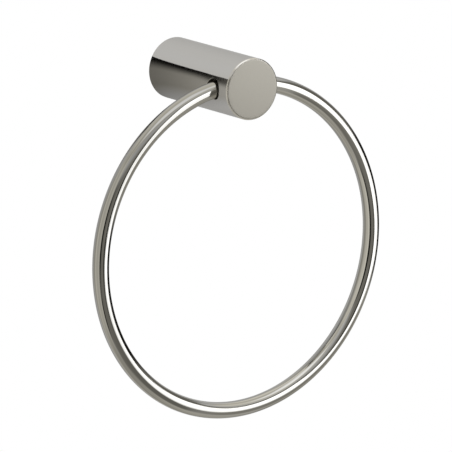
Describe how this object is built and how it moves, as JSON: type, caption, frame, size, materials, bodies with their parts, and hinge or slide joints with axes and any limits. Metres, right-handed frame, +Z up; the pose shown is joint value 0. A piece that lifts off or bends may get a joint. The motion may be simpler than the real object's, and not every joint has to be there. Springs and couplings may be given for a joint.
{
  "type": "towel ring",
  "caption": "Wall-mounted towel ring: a closed ring of round steel bar that swings freely in the cross bore of a plain cylindrical post.",
  "frame": {"origin": "centre of the post's wall end, on the wall's surface", "axes": "+Y into the wall along the post's axis, the post stands out along -Y, +Z up, +X to the right seen from the room"},
  "size_m": [0.168, 0.065, 0.1783],
  "materials": {
    "post_steel": "stainless steel, turned and polished, with a satin front face",
    "ring_steel": "stainless steel bar, polished along its length, with fine lengthwise lines",
    "boss_steel": "stainless steel, as turned",
    "screw_steel": "stainless steel, bright"
  },
  "bodies": {
    "post": {"post": "post_steel", "wall_boss": "boss_steel", "grub_screw": "screw_steel"},
    "ring": {"ring": "ring_steel"}
  },
  "joints": [
    {"name": "ring_swing", "type": "hinge", "parent": "post", "child": "ring", "pos_m": [0, -0.053, 0], "axis": [-1, 0, 0], "range_deg": [-17.5, 197.5]}
  ]
}
